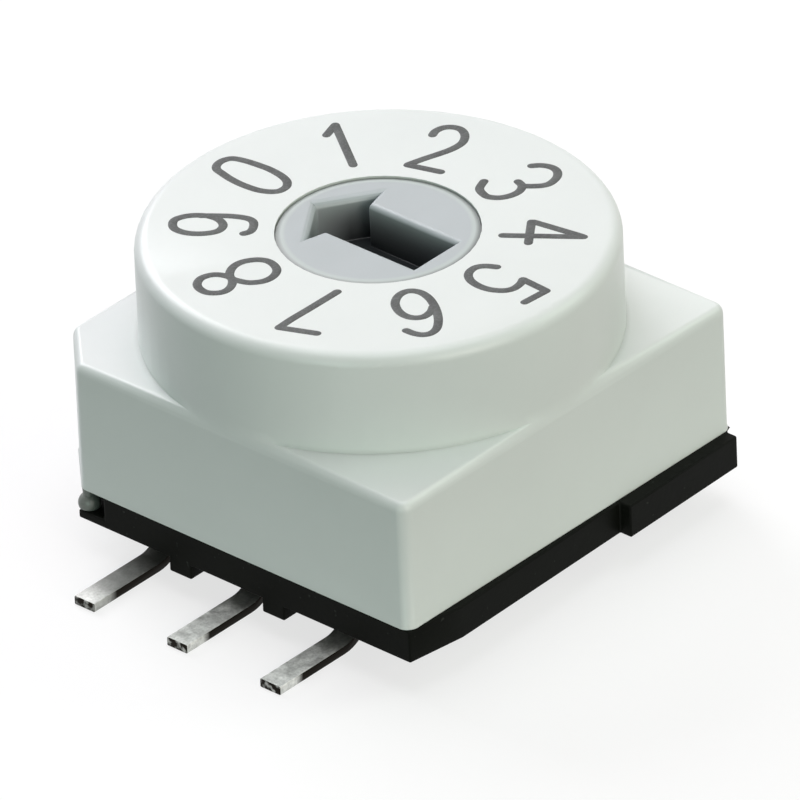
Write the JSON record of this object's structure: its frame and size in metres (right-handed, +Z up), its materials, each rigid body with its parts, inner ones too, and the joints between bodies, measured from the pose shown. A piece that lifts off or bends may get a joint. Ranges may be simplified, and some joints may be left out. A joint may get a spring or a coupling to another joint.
{
  "type": "rotary dip switch",
  "caption": "Square surface-mount rotary dip switch with a round numbered drum, a flush arrow rotor turned by screwdriver and gull-wing terminals on two sides.",
  "frame": {"origin": "middle of the footprint, on the plane that the solder feet stand on, under the rotor's axis", "axes": "+Z up along the rotor's axis; +X and -X towards the two rows of terminals; +Y towards position 0, where the rotor's arrow points"},
  "size_m": [0.0132, 0.0108, 0.0069],
  "materials": {
    "housing": "moulded, fine matt",
    "base": "moulded, half gloss",
    "rotor": "moulded, satin",
    "seal": "matt",
    "contact_metal": "stamped",
    "terminal": "tinned, worn",
    "steel": "polished"
  },
  "bodies": {
    "body": {"housing": "housing", "base": "base", "terminal_common_left": "terminal", "terminal_common_right": "terminal", "terminal_bit_1": "terminal", "terminal_bit_2": "terminal", "terminal_bit_4": "terminal", "terminal_bit_8": "terminal"},
    "rotor": {"rotor": "rotor", "rotor_seal": "seal", "code_disc": "contact_metal", "detent_ball_right": "steel", "detent_ball_left": "steel", "detent_spring_right": "steel", "detent_spring_left": "steel"}
  },
  "joints": [
    {"name": "rotor_turn", "type": "hinge", "parent": "body", "child": "rotor", "pos_m": [0, 0, 0.0045], "axis": [0, 0, 1], "continuous": true}
  ]
}
